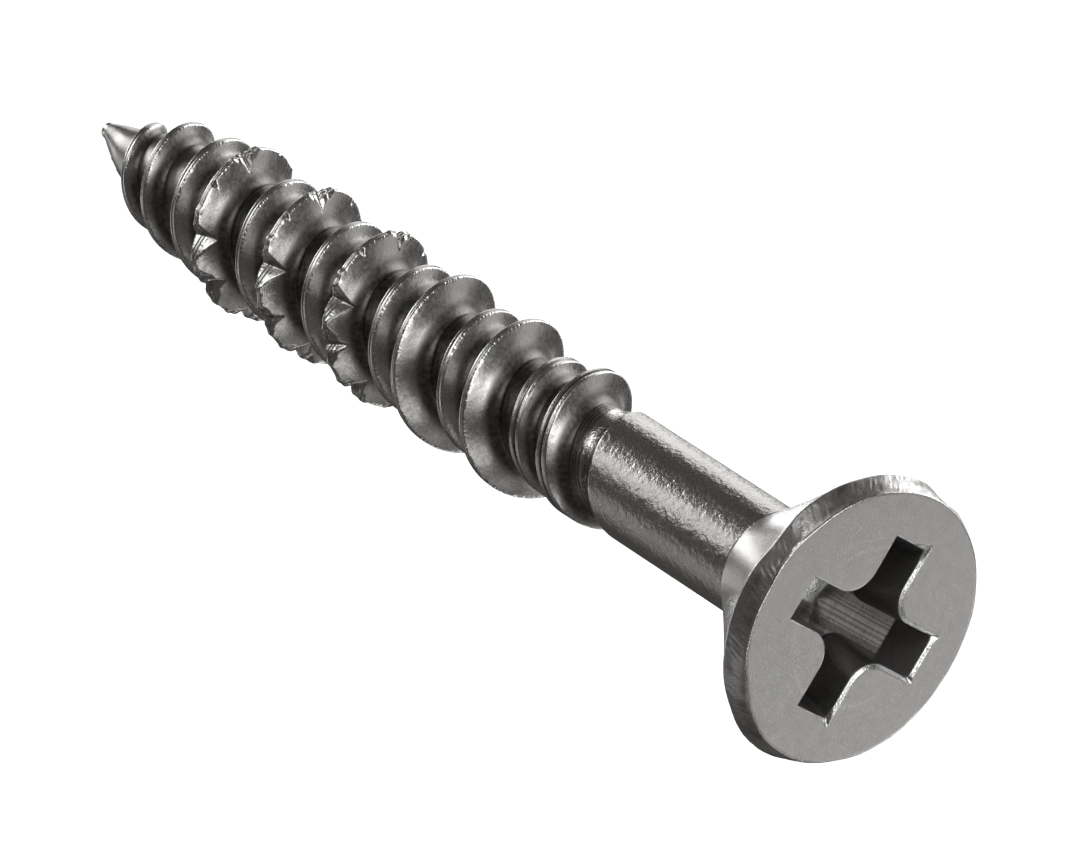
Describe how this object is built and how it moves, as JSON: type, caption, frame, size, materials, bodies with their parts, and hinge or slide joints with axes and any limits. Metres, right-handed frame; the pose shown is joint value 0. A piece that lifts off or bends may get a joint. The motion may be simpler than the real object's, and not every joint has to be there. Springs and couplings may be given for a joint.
{
  "type": "wood screw",
  "caption": "Countersunk wood screw with a cross recess, a plain shank and a twin-lead thread whose tall ridge is notched towards the tapered point.",
  "frame": {"origin": "middle of the head's flat face, on the screw's axis", "axes": "+Z out of the head's face along the screw's axis, with the point down -Z; +X and +Y along the arms of the cross recess"},
  "size_m": [0.0094, 0.0094, 0.04],
  "materials": {
    "head_steel": "satin cold-headed steel with fine scratches",
    "shank_steel": "pitted satin steel",
    "thread_steel": "smooth rolled steel with burnished crests"
  },
  "bodies": {
    "root": {"countersunk_head": "head_steel", "plain_shank": "shank_steel", "threaded_core": "thread_steel", "screw_point": "thread_steel", "tall_thread": "thread_steel", "low_thread": "thread_steel"}
  },
  "joints": []
}
